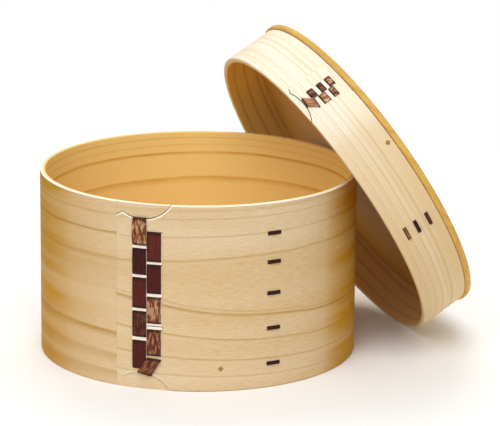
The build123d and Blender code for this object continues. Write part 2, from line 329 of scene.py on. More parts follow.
def band_wood(name, which, look):
    """Cypress sliced thin, planed, steamed and bent: long even rings, satin to the eye.

    A look has the start of its colours' names, and ring lines for the outside's first and last part and for
    the inside. Its curves for the share of gold and for progress run along the board, and spread runs up it.
    Bridges are fresh wood and the dark lines are painted shadows, each from left to right and low to high.
    The paler band beside a cut edge, fresh wood and painted highlight, the painted shadow beside it and the
    rim are widths, all in mm."""
    group = settings()
    band = getattr(group, which)
    radius, wall, height = (value / MM for value in (band.radius, band.wall, band.height))
    wood = group.wood
    pale_wood, warm_wood, gold, line, inner, inner_first, inner_line = (
        rgba(getattr(wood, look["colours"] + part))
        for part in ("pale", "warm", "gold", "line", "inner", "inner_first", "inner_line")
    )
    made, tree, shader = new_material(name)
    local = local_millimetres(tree, which)
    axes = add(tree, "ShaderNodeSeparateXYZ", {0: local}, take=None).outputs
    flat = add(tree, VECTOR, {0: local, 1: (1, 1, 0)}, operation="MULTIPLY")
    out = add(tree, VECTOR, {0: flat}, "Value", operation="LENGTH")
    inside = add(tree, MATH, {0: out, 1: radius - wall / 2}, operation="LESS_THAN")
    turn = add(tree, MATH, {0: axes["Y"], 1: axes["X"]}, operation="ARCTAN2")
    # The grain runs from one end of the board to the other and breaks where an end shows.
    outer_end = band.seam - band.reach / band.radius
    inner_end = outer_end + band.lap / band.radius
    ends = add(tree, MIX, {0: inside, 2: outer_end, 3: inner_end}, data_type="FLOAT")
    from_end = add(tree, MATH, {0: turn, 1: ends}, operation="SUBTRACT")
    run = add(tree, MATH, {0: from_end, 1: 2 * pi, 2: 0.0}, operation="WRAP")
    arc = add(tree, MATH, {0: run, 1: radius}, operation="MULTIPLY")
    layer = add(tree, MATH, {0: inside, 1: INSIDE_SHIFT}, operation="MULTIPLY")
    sheet = add(tree, "ShaderNodeCombineXYZ", {0: arc, 1: axes["Z"], 2: layer})

    def pattern(long, wide, low, high, shift, detail=2, roughness=0.5):
        """Noise drawn out along the grain: its length and width in millimetres, then its two values."""
        links = {"Vector": sheet, "Location": (shift, shift, shift), "Scale": (1 / long, 1 / wide, 1)}
        place = add(tree, "ShaderNodeMapping", links)
        links = {"Vector": place, "Scale": 1, "Detail": detail, "Roughness": roughness}
        noise = add(tree, "ShaderNodeTexNoise", links, "Fac")
        return add(tree, RANGE, {0: noise, 1: NOISE_LOW, 2: NOISE_HIGH, 3: low, 4: high})

    # Rings wander slowly, and spread from one end of the board to the other.
    share = add(tree, MATH, {0: axes["Z"], 1: height}, operation="DIVIDE")
    progress = add(tree, MATH, {0: run, 1: 2 * pi}, operation="DIVIDE")
    spread, growth, gold_share = (
        draw_curve(add(tree, "ShaderNodeFloatCurve", {"Value": value}, take=None), look[part])
        for value, part in ((share, "spread"), (progress, "progress"), (progress, "gold_share"))
    )
    centred = add(tree, MATH, {0: spread, 1: 0.5}, operation="SUBTRACT")
    moved = add(tree, MATH, {0: centred, 1: growth}, operation="MULTIPLY")
    shifted = add(tree, MATH, {0: share, 1: moved}, operation="SUBTRACT")
    sway = pattern(95, 60, -look["wander"], look["wander"], shift=0)
    ring = add(tree, MATH, {0: shifted, 1: sway}, operation="ADD")
    # The first part gives way to the last one about the middle of the board.
    late = add(tree, RANGE, {0: progress, 1: 0.4, 2: 0.6}, interpolation_type="SMOOTHSTEP")
    first, last, within = (
        draw_rings(add(tree, "ShaderNodeValToRGB", {"Fac": ring}, take=None), look[part])
        for part in ("first", "last", "inside")
    )
    outer = add(tree, MIX, {0: late, 6: first, 7: last}, **COLOURS)
    both = add(tree, MIX, {0: inside, 6: outer, 7: within}, **COLOURS)
    uneven = pattern(45, 7, 0.6, 1.2, shift=11, detail=3)
    dark = add(tree, MATH, {0: both, 1: uneven}, operation="MULTIPLY", use_clamp=True)

    # Pale wood with warmer bands and flecks, golden towards the tree's core. On the tub the gold at its left
    # and right sides is also painted shade.
    broad = pattern(260, 26, 0.0, 0.4, shift=3)
    fine = pattern(8, 0.9, -0.05, 0.5, shift=5, detail=3, roughness=0.8)
    warmth = add(tree, MATH, {0: broad, 1: fine}, operation="ADD", use_clamp=True)
    streaks = pattern(320, 12, 1 - look["streaks"], 1 + look["streaks"], shift=21)
    gold_share = add(tree, MATH, {0: gold_share, 1: streaks}, operation="MULTIPLY", use_clamp=True)
    ground = add(tree, MIX, {0: warmth, 6: pale_wood, 7: warm_wood}, **COLOURS)
    outside = add(tree, MIX, {0: gold_share, 6: ground, 7: gold}, **COLOURS)
    soft = add(tree, MATH, {0: warmth, 1: INSIDE_WARMTH}, operation="MULTIPLY")
    golden = add(tree, MIX, {0: late, 6: inner_first, 7: inner}, **COLOURS)
    golden = add(tree, MIX, {0: soft, 6: golden, 7: inner_line}, **COLOURS)
    base = add(tree, MIX, {0: inside, 6: outside, 7: golden}, **COLOURS)
    line = add(tree, MIX, {0: gold_share, 6: line, 7: rgba(wood.gold_line)}, **COLOURS)
    line = add(tree, MIX, {0: inside, 6: line, 7: inner_line}, **COLOURS)
    tone = add(tree, MIX, {0: dark, 6: base, 7: line}, **COLOURS)

    # Fresh cuts show paler wood: the bridges between stitches, the edges of the tongue and the top of the rim.
    # On the tongue's edges and the rim this paler band is also a painted highlight, where an edge faces the
    # light.
    from_seam = add(tree, MATH, {0: turn, 1: band.seam}, operation="SUBTRACT")
    near_seam = add(tree, MATH, {0: from_seam, 1: pi, 2: -pi}, operation="WRAP")
    along = add(tree, MATH, {0: near_seam, 1: radius}, operation="MULTIPLY")
    seam_flat = add(tree, "ShaderNodeCombineXYZ", {0: along, 1: axes["Z"]})
    arcs = corner_arcs(band, look["corners"])
    pale = cut_edges(tree, seam_flat, along, arcs, 0.0, look["cut_highlight"])
    rim = add(tree, MATH, {0: axes["Z"], 1: height - look["rim"]}, operation="GREATER_THAN")
    pale = add(tree, MATH, {0: rim, 1: pale}, operation="MAXIMUM")

    def patches(places, mask):
        """Adds patches of the wall to a mask."""
        for left, right, low, high in places:
            across, up = (
                add(tree, MATH, {0: way, 1: (start + end) / 2, 2: (end - start) / 2}, operation="COMPARE")
                for way, start, end in ((along, left, right), (axes["Z"], low, high))
            )
            here = add(tree, MATH, {0: across, 1: up}, operation="MULTIPLY")
            mask = add(tree, MATH, {0: here, 1: mask}, operation="MAXIMUM")
        return mask

    pale = patches(look["bridges"], pale)
    # Painted shadow: beside a cut edge, and along a slit or a joint, the wood is darker.
    edge = patches(look["marks"], cut_edges(tree, seam_flat, along, arcs, -look["shade"], 0.0))
    for mask, strength, over in ((pale, 1.0, wood.cut), (edge, CUT_SHADE, wood.shadow)):
        mask = add(tree, MATH, {0: mask, 1: inside}, operation="SUBTRACT", use_clamp=True)
        mask = add(tree, MATH, {0: mask, 1: strength}, operation="MULTIPLY")
        tone = add(tree, MIX, {0: mask, 6: tone, 7: rgba(over)}, **COLOURS)

    # Planed fibres are finer than a pixel, so they are drawn about 0.6 mm apart.
    rough = pattern(24, 0.6, 0.5, 0.64, shift=9)
    fibre = pattern(24, 0.6, 0.0, 1.0, shift=9)
    bump = add(tree, "ShaderNodeBump", {"Strength": 0.35, "Distance": 0.05 * MM, "Height": fibre})
    plug(tree, shader, {"Base Color": tone, "Roughness": rough, "Normal": bump, "Specular IOR Level": 0.1})
    return made


def board_wood(name, which, grain_turn, pith, spacing, painted_shade_height):
    """Cypress sawn to a board: rings about a pith line, so that faces and edges agree.

    Pith, spacing and the height under which the board gets painted shade are in millimetres."""
    wood = settings().wood
    made, tree, shader = new_material(name)
    local = local_millimetres(tree, which)
    links = {"Vector": local, "Rotation": (0, 0, grain_turn), "Location": (0, *pith)}
    along = add(tree, "ShaderNodeMapping", links)
    # The rings wander by up to 22 mm, over lengths of 160 mm along the grain and 30 mm across it.
    stretched = add(tree, "ShaderNodeMapping", {"Vector": along, "Scale": (1 / 160, 1 / 30, 1 / 30)})
    wander = add(tree, "ShaderNodeTexNoise", {"Vector": stretched, "Scale": 1, "Detail": 2}, "Color")
    sway = add(tree, VECTOR, {0: wander, 1: (0, 22, 22), 2: along}, operation="MULTIPLY_ADD")
    across = add(tree, VECTOR, {0: sway, 1: (0, 1, 1)}, operation="MULTIPLY")
    far = add(tree, VECTOR, {0: across}, "Value", operation="LENGTH")
    count = add(tree, MATH, {0: far, 1: spacing}, operation="DIVIDE")
    year = add(tree, MATH, {0: count}, operation="FRACT")
    dark = draw_rings(add(tree, "ShaderNodeValToRGB", {"Fac": year}, take=None), [(0.9, 0.45, 0.6)])
    # Sawn fibres are drawn about 60 mm long and 0.9 mm apart.
    streaks = add(tree, "ShaderNodeMapping", {"Vector": along, "Scale": (1 / 60, 1 / 0.9, 1 / 0.9)})
    fibre = add(tree, "ShaderNodeTexNoise", {"Vector": streaks, "Scale": 1, "Detail": 3}, "Fac")
    fine, rough = (
        add(tree, RANGE, {0: fibre, 1: NOISE_LOW, 2: NOISE_HIGH, 3: low, 4: high})
        for low, high in ((0.0, 0.35), (0.48, 0.62))
    )
    amount = add(tree, MATH, {0: dark, 1: 0.6, 2: fine}, operation="MULTIPLY_ADD", use_clamp=True)
    tone = add(tree, MIX, {0: amount, 6: rgba(wood.board), 7: rgba(wood.board_line_and_shade)}, **COLOURS)
    # Painted shade: under the given height the board is darkened towards its ring colour.
    up = add(tree, "ShaderNodeSeparateXYZ", {0: local}, "Z")
    board_shade = add(tree, MATH, {0: up, 1: painted_shade_height}, operation="LESS_THAN")
    board_shade = add(tree, MATH, {0: board_shade, 1: UNDERSIDE_SHADE}, operation="MULTIPLY")
    tone = add(tree, MIX, {0: board_shade, 6: tone, 7: rgba(wood.board_line_and_shade)}, **COLOURS)
    bump = add(tree, "ShaderNodeBump", {"Strength": 0.3, "Distance": 0.05 * MM, "Height": fibre})
    plug(tree, shader, {"Base Color": tone, "Roughness": rough, "Normal": bump, "Specular IOR Level": 0.2})
    return made


def cherry_bark():
    """Cherry bark scraped and polished: dark red to light brown, streaked along the strip, half gloss.

    Its tone moves each stitch to a place of its own in both noises."""
    bark = settings().bark
    made, tree, shader = new_material("cherry bark, scraped and polished")
    along, across, tone, fleck, dive = (
        add(tree, "ShaderNodeAttribute", take="Fac", attribute_name=name)
        for name in ("along", "across", "tone", "fleck", "dive")
    )
    strip = add(tree, "ShaderNodeCombineXYZ", {0: across, 1: along, 2: tone})
    # Lengths in millimetres: a streak is about 9 long and 0.6 wide, a fleck about 5 by 2.
    streaky = add(tree, "ShaderNodeMapping", {"Vector": strip, "Scale": (1 / 0.6, 1 / 9, 9)})
    streak = add(tree, "ShaderNodeTexNoise", {"Vector": streaky, "Scale": 1, "Detail": 3}, "Fac")
    mottled = add(tree, "ShaderNodeMapping", {"Vector": strip, "Scale": (1 / 2.2, 1 / 5, 5)})
    mottle = add(tree, "ShaderNodeTexNoise", {"Vector": mottled, "Scale": 1, "Detail": 3}, "Fac")
    lift = add(tree, RANGE, {0: streak, 1: 0.32, 2: 0.68, 3: -0.14, 4: 0.14})
    shade = add(tree, MATH, {0: tone, 1: lift}, operation="ADD", use_clamp=True)
    ramp = add(tree, "ShaderNodeValToRGB", {"Fac": shade}, take=None)
    ramp.color_ramp.elements[0].color = rgba(bark.dark)
    ramp.color_ramp.elements[1].color = rgba(bark.light)
    ramp.color_ramp.elements.new(0.25).color = rgba(bark.red)
    ramp.color_ramp.elements.new(0.6).color = rgba(bark.brown)
    both = add(tree, MATH, {0: streak, 1: mottle}, operation="ADD")
    spots = add(tree, RANGE, {0: both, 1: 0.96, 2: 1.14}, interpolation_type="SMOOTHSTEP")
    amount = add(tree, MATH, {0: spots, 1: fleck}, operation="MULTIPLY", use_clamp=True)
    links = {0: amount, 6: ramp.outputs["Color"], 7: rgba(bark.cream)}
    surface = add(tree, MIX, links, **COLOURS)
    # Painted shade: a stitch is nearly black where it dives into its slit.
    deep = add(tree, RANGE, {0: dive, 1: 0.1, 2: 1.0, 3: 0.0, 4: 0.85})
    tone = add(tree, MIX, {0: deep, 6: surface, 7: rgba(bark.dark)}, **COLOURS)
    links = {0: streak, 1: NOISE_LOW, 2: NOISE_HIGH, 3: 0.42, 4: 0.6}
    rough = add(tree, RANGE, links)
    bump = add(tree, "ShaderNodeBump", {"Strength": 0.6, "Distance": 0.12 * MM, "Height": streak})
    plug(tree, shader, {"Base Color": tone, "Roughness": rough, "Normal": bump, "Specular IOR Level": 0.2})
    return made


def bamboo_peg():
    """Split bamboo, cut across: dark fibre dots about 0.6 mm apart in golden wood."""
    peg = settings().peg
    made, tree, shader = new_material("split bamboo, cut end")
    coords = add(tree, "ShaderNodeTexCoord", take="Object")
    dots = add(tree, "ShaderNodeTexVoronoi", {"Vector": coords, "Scale": 1 / (0.6 * MM)}, "Distance")
    amount = add(tree, RANGE, {0: dots, 1: 0.15, 2: 0.5, 3: 0.8, 4: 0.0})
    links = {0: amount, 6: rgba(peg.skin), 7: rgba(peg.fibre)}
    tone = add(tree, MIX, links, **COLOURS)
    plug(tree, shader, {"Base Color": tone, "Roughness": 0.55})
    return made


def finish_node(node, material):
    """Gives a CAD node its material."""
    made = frame["nodes"][node]
    if not made.material_slots:
        made.data.materials.append(material)
    for place in made.material_slots:
        place.material = material


# Bark strips

# Points of a run: each a share of its length and a share of its lift. A stitch arches, a hidden run is flat.
OUTSIDE_STEPS = ((0, 0), (0.12, 0.55), (0.3, 0.9), (0.5, 1), (0.7, 0.9), (0.88, 0.55), (1, 0))
HIDDEN_STEPS = ((0, 0), (1, 0))


def bark_tree():
    """Geometry nodes that sweep a strip along its way through the slits and bend it round the band."""
    tree = bpy.data.node_groups.new("bark strip", "GeometryNodeTree")
    face = tree.interface
    face.new_socket("Geometry", in_out="INPUT", socket_type="NodeSocketGeometry")
    for name in ("Thickness", "Bend", "Crown", "Radius", "Seam"):
        face.new_socket(name, in_out="INPUT", socket_type="NodeSocketFloat")
    for name in ("Place", "Turn"):
        face.new_socket(name, in_out="INPUT", socket_type="NodeSocketVector")
    face.new_socket("Bark", in_out="INPUT", socket_type="NodeSocketMaterial")
    face.new_socket("Geometry", in_out="OUTPUT", socket_type="NodeSocketGeometry")
    given = add(tree, "NodeGroupInput", take=None).outputs
    centre, width, slope = (
        add(tree, "GeometryNodeInputNamedAttribute", {"Name": name}, "Attribute", data_type="FLOAT")
        for name in ("centre", "width", "slope")
    )
    here = add(tree, "GeometryNodeInputPosition")

    path = add(tree, "GeometryNodeMeshToCurve", {"Mesh": given["Geometry"]})
    links = {"Curve": path, "Count": 4, "Radius": given["Bend"], "Limit Radius": True}
    path = add(tree, "GeometryNodeFilletCurve", links, mode="POLY")
    path = add(tree, "GeometryNodeSetCurveNormal", {"Curve": path}, mode="Z_UP")
    # The section is a flattened ring with full edges: one unit wide, as thick as the bark.
    ring = add(tree, "GeometryNodeCurvePrimitiveCircle", {"Resolution": 28, "Radius": 1.0})
    signs = add(tree, VECTOR, {0: here}, operation="SIGN")
    sizes = add(tree, VECTOR, {0: here}, operation="ABSOLUTE")
    sizes = add(tree, "ShaderNodeSeparateXYZ", {0: sizes}, take=None).outputs
    deep = add(tree, MATH, {0: sizes["X"], 1: 0.55}, operation="POWER")
    wide = add(tree, MATH, {0: sizes["Y"], 1: 0.35}, operation="POWER")
    deep = add(tree, MATH, {0: deep, 1: given["Thickness"]}, operation="MULTIPLY")
    full = add(tree, "ShaderNodeCombineXYZ", {0: deep, 1: wide})
    full = add(tree, VECTOR, {0: full, 1: signs}, operation="MULTIPLY")
    half = add(tree, VECTOR, {0: full, "Scale": 0.5}, operation="SCALE")
    section = add(tree, "GeometryNodeSetPosition", {"Geometry": ring, "Position": half})
    links = {"Curve": path, "Profile Curve": section, "Fill Caps": True}
    shape = add(tree, "GeometryNodeCurveToMesh", links)

    # In the swept strip X is the height, Y the depth over the wall and Z the place across the strip.
    spot = add(tree, "ShaderNodeSeparateXYZ", {0: here}, take=None).outputs
    height, depth, side = spot["X"], spot["Y"], spot["Z"]
    # Its edges waver by 3 %, and its face stands proud along the middle.
    wavy = add(tree, "ShaderNodeCombineXYZ", {0: height, 1: centre, 2: side})
    wave = add(tree, "ShaderNodeTexNoise", {"Vector": wavy, "Scale": 120, "Detail": 1}, "Fac")
    loose = add(tree, RANGE, {0: wave, 3: 0.97, 4: 1.03})
    reach = add(tree, MATH, {0: side, 1: width}, operation="MULTIPLY")
    reach = add(tree, MATH, {0: reach, 1: loose}, operation="MULTIPLY")
    arc = add(tree, MATH, {0: centre, 1: reach}, operation="ADD")
    level = add(tree, MATH, {0: side, 1: slope, 2: height}, operation="MULTIPLY_ADD")
    double = add(tree, MATH, {0: side, 1: 2.0}, operation="MULTIPLY")
    square = add(tree, MATH, {0: double, 1: double}, operation="MULTIPLY")
    arch = add(tree, MATH, {0: 1.0, 1: square}, operation="SUBTRACT")
    links = {0: depth, 1: given["Thickness"]}
    proud = add(tree, MATH, links, operation="DIVIDE", use_clamp=True)
    crown = add(tree, MATH, {0: arch, 1: proud}, operation="MULTIPLY")
    links = {0: crown, 1: given["Crown"], 2: depth}
    raised = add(tree, MATH, links, operation="MULTIPLY_ADD")
    out = add(tree, MATH, {0: given["Radius"], 1: raised}, operation="ADD")
    turned = add(tree, MATH, {0: arc, 1: given["Radius"]}, operation="DIVIDE")
    turned = add(tree, MATH, {0: turned, 1: given["Seam"]}, operation="ADD")
    x, y = (
        add(tree, MATH, {0: add(tree, MATH, {0: turned}, operation=wave), 1: out}, operation="MULTIPLY")
        for wave in ("COSINE", "SINE")
    )
    bent = add(tree, "ShaderNodeCombineXYZ", {0: x, 1: y, 2: level})

    # Both places on the strip are stored before it is bent, so that they keep its flat measure.
    for name, value in (("along", height), ("across", reach)):
        value = add(tree, MATH, {0: value, 1: MM}, operation="DIVIDE")
        links = {"Geometry": shape, "Name": name, "Value": value}
        shape = add(tree, "GeometryNodeStoreNamedAttribute", links, data_type="FLOAT", domain="POINT")
    shape = add(tree, "GeometryNodeSetPosition", {"Geometry": shape, "Position": bent})
    shape = add(tree, "GeometryNodeSetShadeSmooth", {"Geometry": shape})
    links = {"Geometry": shape, "Translation": given["Place"], "Rotation": given["Turn"]}
    shape = add(tree, "GeometryNodeTransform", links)
    shape = add(tree, "GeometryNodeRealizeInstances", {"Geometry": shape})
    shape = add(tree, "GeometryNodeSetMaterial", {"Geometry": shape, "Material": given["Bark"]})
    add(tree, "NodeGroupOutput", {0: shape}, take=None)
    return tree


def strip_points(runs, thickness, wall):
    """Way of a strip: each run is out or in, with two ends, centres, widths and slopes, and a look."""
    points = []
    for run in runs:
        if run["out"]:
            low, steps = run.get("over", 0.0) + thickness / 2, OUTSIDE_STEPS
        else:
            low, steps = -wall - thickness / 2, HIDDEN_STEPS
        for share, up in steps:
            height, centre, width, slope = (
                start + (end - start) * share
                for start, end in (run["ends"], run["centre"], run["width"], run["slope"])
            )
            values = {"centre": centre, "slope": slope, "tone": run["tone"], "fleck": run["fleck"]}
            values["width"] = width * (1 + run.get("bulge", 0.0) * up)
            # Dive is 1 at a stitch's ends, where the bark material paints shade.
            values["dive"] = 1.0 if run["out"] and up == 0 else 0.0
            points.append(((height, low + run.get("lift", 0.0) * up, 0.0), values))
    return points


def build_strip(name, which, runs, replaced):
    """Sweeps a strip of bark on one band and puts one plain mesh in place of a CAD node."""
    group = settings()
    band = getattr(group, which)
    bark = group.bark
    points = strip_points(runs, bark.thickness, band.wall)
    mesh = bpy.data.meshes.new(name + " way")
    mesh.from_pydata([place for place, _ in points], [(i, i + 1) for i in range(len(points) - 1)], [])
    for label in ("centre", "width", "slope", "tone", "fleck", "dive"):
        attribute = mesh.attributes.new(label, "FLOAT", "POINT")
        attribute.data.foreach_set("value", [value[label] for _, value in points])
    carrier = bpy.data.objects.new(name + " way", mesh)
    bpy.context.scene.collection.objects.link(carrier)
    tree = bpy.data.node_groups.get("bark strip") or bark_tree()
    modifier = carrier.modifiers.new("bark strip", "NODES")
    modifier.node_group = tree
    material = bpy.data.materials.get("cherry bark, scraped and polished") or cherry_bark()
    place, turn = place_of(which)
    given = {
        "Thickness": bark.thickness, "Bend": bark.bend, "Crown": bark.crown, "Radius": band.radius,
        "Seam": band.seam, "Place": place, "Turn": turn, "Bark": material,
    }
    for item in tree.interface.items_tree:
        if item.item_type == "SOCKET" and item.in_out == "INPUT" and item.name in given:
            modifier[item.identifier] = given[item.name]
    bpy.context.view_layer.update()
    plain = bpy.data.meshes.new_from_object(carrier.evaluated_get(bpy.context.evaluated_depsgraph_get()))
    bpy.data.objects.remove(carrier)
    plain.name = name
    made = bpy.data.objects.new(name, plain)
    bpy.context.scene.collection.objects.link(made)
    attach(made, which)
    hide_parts(replaced)


def steady(value):
    return (value, value)


def lacing(band, left, right, turn):
    """Runs of the front strip: down the left row, over the turn and up the right row.

    Each stitch is its lower and upper share of the height, its tone, fleck, lift in millimetres and bulge.
    The turn's corners are shares of the strip's width and of the height."""
    bark = settings().bark
    height, width, dive = band.height, band.strip, bark.thickness / 2
    column = (width + bark.gap) / 2

    def outside(stitch, centre, down):
        low, high, tone, fleck, lift, bulge = stitch
        ends = (high * height - dive, low * height + dive)
        return {
            "out": True, "ends": ends if down else ends[::-1], "centre": steady(centre),
            "width": steady(width), "slope": steady(0.0), "tone": tone, "fleck": fleck, "lift": lift * MM,
            "bulge": bulge,
        }

    def hidden(start, end, centre, slope=(0.0, 0.0), wide=(width, width)):
        return {
            "out": False, "ends": (start, end), "centre": centre, "width": wide,
            "slope": slope, "tone": 0.2, "fleck": 0.0,
        }

    head = left[0][1] * height
    runs = [hidden(head - bark.hidden_end, head - dive, steady(-column))]
    for stitch, following in zip(left, left[1:] + [None]):
        runs.append(outside(stitch, -column, True))
        if following:
            ends = (stitch[0] * height + dive, following[1] * height - dive)
            runs.append(hidden(*ends, steady(-column)))
    low_left, low_right, high_right, high_left = [(a * width, up * height) for a, up in turn["corners"]]
    foot = ((low_left[0] + low_right[0]) / 2, (low_left[1] + low_right[1]) / 2 + dive)
    top = ((high_left[0] + high_right[0]) / 2, (high_left[1] + high_right[1]) / 2 - dive)
    slopes = (low_right[1] - low_left[1], high_right[1] - high_left[1])
    widths = (low_right[0] - low_left[0], high_right[0] - high_left[0])
    ends = (left[-1][0] * height + dive, foot[1])
    runs.append(hidden(*ends, (-column, foot[0]), (0.0, slopes[0]), (width, widths[0])))
    runs.append({
        "out": True, "ends": (foot[1], top[1]), "centre": (foot[0], top[0]), "width": widths,
        "slope": slopes, "tone": turn["tone"], "fleck": turn["fleck"], "lift": turn["lift"] * MM,
        "over": bark.thickness,
    })
    ends = (top[1], right[-1][0] * height + dive)
    runs.append(hidden(*ends, (top[0], column), (slopes[1], 0.0), (widths[1], width)))
    upward = right[::-1]
    for stitch, following in zip(upward, upward[1:] + [None]):
        runs.append(outside(stitch, column, False))
        if following:
            ends = (stitch[1] * height - dive, following[0] * height + dive)
            runs.append(hidden(*ends, steady(column)))
    head = right[0][1] * height
    runs.append(hidden(head - dive, head - bark.hidden_end, steady(column)))
    return runs


def dashes(band, stitches):
    """Runs of the strip at the board's inner end: short dashes outside, long runs inside.

    Each dash is the share of the height where its middle lies, its tone and its fleck."""
    bark = settings().bark
    height, dash, dive = band.height, bark.dash, bark.thickness / 2
    first = stitches[0][0] * height + dash / 2
    last = stitches[-1][0] * height - dash / 2
    flat = {
        "centre": steady(band.tail_place), "width": steady(band.tail_strip), "slope": steady(0.0),
        "lift": 0.1 * MM,
    }
    hidden = {"out": False, "tone": 0.1, "fleck": 0.0, **flat}
    spans = [
        (share * height + dash / 2 - dive, share * height - dash / 2 + dive, tone, fleck)
        for share, tone, fleck in stitches
    ]
    runs = [{"ends": (first + dash, first - dive), **hidden}]
    for index, (high, low, tone, fleck) in enumerate(spans):
        runs.append({"out": True, "ends": (high, low), "tone": tone, "fleck": fleck, **flat})
        following = spans[index + 1][0] if index + 1 < len(spans) else last - dash
        runs.append({"ends": (low, following), **hidden})
    return runs


# Operators

# The softboxes: name, place and size in metres, and the setting that holds the strength.
SOFTBOXES = (
    ("front softbox", Vector((-0.75, -1.27, 2.0)), 1.6, "key"),
    ("back softbox", Vector((0.61, 1.43, 1.93)), 1.4, "back"),
)
LIGHT_TARGET = Vector((0.04, 0, 0.09))


class RICETUB_OT_tub_wall(Operator):
    """Finishes the tub's bent wall in planed cypress"""

    bl_idname = "rice_tub.tub_wall"
    bl_label = "Tub wall"

    def execute(self, context):
        look = {
            "colours": "",
            # Share of gold along the board: its peaks at the tub's left and right sides are wood tone and
            # painted shade.
            "gold_share": [
                (0, 0), (0.17, 0), (0.22, 0.16), (0.29, 0.88), (0.36, 0.65), (0.45, 0.45), (0.65, 0.42),
                (0.75, 0.55), (0.87, 0.95), (0.905, 0.82), (0.95, 0.37), (1, 0.07),
            ],
            "spread": [
                (0, 0.49), (0.1, 0.465), (0.2, 0.43), (0.34, 0.385), (0.5, 0.355), (0.62, 0.46),
                (0.7, 0.54), (0.82, 0.535), (1, 0.51),
            ],
            "progress": [
                (0, 0), (0.05, 0.26), (0.09, 0.5), (0.12, 0.64), (0.16, 0.76), (0.19, 0.87), (0.22, 1),
                (0.26, 1), (0.5, 0.5), (0.8, 0), (0.9, 0.1), (1, 0.3),
            ],
            "wander": 0.004, "streaks": 0.3,
            "first": [
                (0.1, 0.01, 0.55), (0.207, 0.012, 0.7), (0.343, 0.012, 0.75), (0.507, 0.02, 1),
                (0.53, 0.01, 0.55), (0.693, 0.012, 0.7), (0.821, 0.008, 0.65), (0.921, 0.007, 0.55),
                (0.972, 0.02, 0.35),
            ],
            "last": [
                (0.08, 0.05, 0.4), (0.185, 0.06, 0.55), (0.315, 0.04, 0.9), (0.65, 0.15, 0.25),
                (0.685, 0.03, 0.6), (0.821, 0.014, 1), (0.921, 0.01, 0.5),
            ],
            "inside": [
                (0.45, 0.03, 0.4), (0.61, 0.1, 0.7), (0.7, 0.03, 0.75), (0.86, 0.02, 0.9),
                (0.91, 0.01, 0.35), (0.955, 0.01, 0.5),
            ],
            "bridges": [(-11.1, -0.1, 16, 129), (0.1, 11.2, 26.5, 119)],
            # Painted shade in the slit in the right row that no stitch uses.
            "marks": [(0.3, 11.9, 48.25, 48.9)],
            "corners": (1.0, 0.35), "cut_highlight": 0.9, "shade": 0.6, "rim": 0.6,
        }
        finish_node("tub_band", band_wood("cypress, planed and bent, tub", "tub", look))
        return {"FINISHED"}


class RICETUB_OT_lid_wall(Operator):
    """Finishes the lid's bent wall in planed cypress"""

    bl_idname = "rice_tub.lid_wall"
    bl_label = "Lid wall"

    def execute(self, context):
        # Fine even rings from the foot up, and wider ones above them.
        fine = [(0.06 + 0.055 * i, 0.03, 0.2 + 0.13 * (i % 3)) for i in range(7)]
        wide = [(0.62, 0.05, 0.25), (0.72, 0.06, 0.35), (0.84, 0.05, 0.2)]
        look = {
            "colours": "lid_",
            "gold_share": [
                (0, 0), (0.04, 0.02), (0.065, 0.14), (0.095, 0.44), (0.15, 0.52), (0.22, 0.54),
                (0.33, 0.5), (0.5, 0.5), (0.8, 0.4), (0.93, 0.05), (1, 0),
            ],
            "spread": [(0, 0.5), (0.5, 0.46), (1, 0.5)],
            "progress": [(0, 0), (0.3, 1), (0.7, 0.2), (1, 0.6)],
            "wander": 0.02, "streaks": 0.12,
            "first": fine[:6] + [(0.5, 0.04, 0.4)] + wide[:2],
            "last": fine[1:7] + [(0.6, 0.04, 0.4)] + wide[1:],
            "inside": [(0.2, 0.06, 0.5), (0.45, 0.06, 0.5), (0.7, 0.06, 0.5)],
            "bridges": [(-8.9, 0, 12.5, 32.5), (0, 8.9, 17, 29.5)],
            # Painted shadow along the joint under the board's edge, all the way round.
            "marks": [(-401, 401, 39.2, 39.7)],
            "corners": (0.2, 1.0), "cut_highlight": 0.6, "shade": 0.8, "rim": 0.0,
        }
        finish_node("lid_band", band_wood("cypress, planed and bent, lid", "lid", look))
        return {"FINISHED"}


class RICETUB_OT_boards(Operator):
    """Finishes the tub's bottom board and the lid's top board"""

    bl_idname = "rice_tub.boards"
    bl_label = "Round boards"

    def execute(self, context):
        bottom = board_wood(
            "cypress board, sawn, tub bottom", "tub",
            grain_turn=radians(25), pith=(30, 60), spacing=9, painted_shade_height=13,
        )
        finish_node("tub_bottom", bottom)
        top = board_wood(
            "cypress board, sawn, lid top", "lid",
            grain_turn=radians(70), pith=(-20, 90), spacing=8, painted_shade_height=31,
        )
        finish_node("lid_top", top)
        return {"FINISHED"}


class RICETUB_OT_tub_bark(Operator):
    """Sews the tub's seam with strips of cherry bark"""

    bl_idname = "rice_tub.tub_bark"
    bl_label = "Tub bark"

    def execute(self, context):
        band = settings().tub
        left = [
            (0.777, 0.925, 0.55, 0.6, 0.5, 0.07), (0.620, 0.761, 0.05, 0.0, 0.2, 0.01),
            (0.439, 0.604, 0.22, 0.0, 0.2, 0.01), (0.283, 0.423, 0.15, 0.07, 0.2, 0.01),
            (0.110, 0.264, 0.16, 0.0, 0.2, 0.01),
        ]
        right = [
            (0.694, 0.855, 0.27, 0.0, 0.2, 0.01), (0.523, 0.680, 0.14, 0.0, 0.2, 0.01),
            (0.361, 0.505, 0.5, 0.5, 0.2, 0.01), (0.186, 0.329, 0.42, 0.35, 0.2, 0.01),
        ]
        corners = [(-0.645, 0.089), (0.341, 0.073), (1.02, 0.168), (0.028, 0.174)]
        turn = {"corners": corners, "tone": 0.4, "fleck": 0.18, "lift": 0.25}
        build_strip("tub_front_bark", "tub", lacing(band, left, right, turn), "tub_front_lace")
        tail = [
            (0.837, 0.02, 0.0), (0.682, 0.05, 0.0), (0.514, 0.0, 0.0), (0.324, 0.05, 0.0),
            (0.132, 0.02, 0.0),
        ]
        build_strip("tub_tail_bark", "tub", dashes(band, tail), "tub_tail_lace")
        return {"FINISHED"}


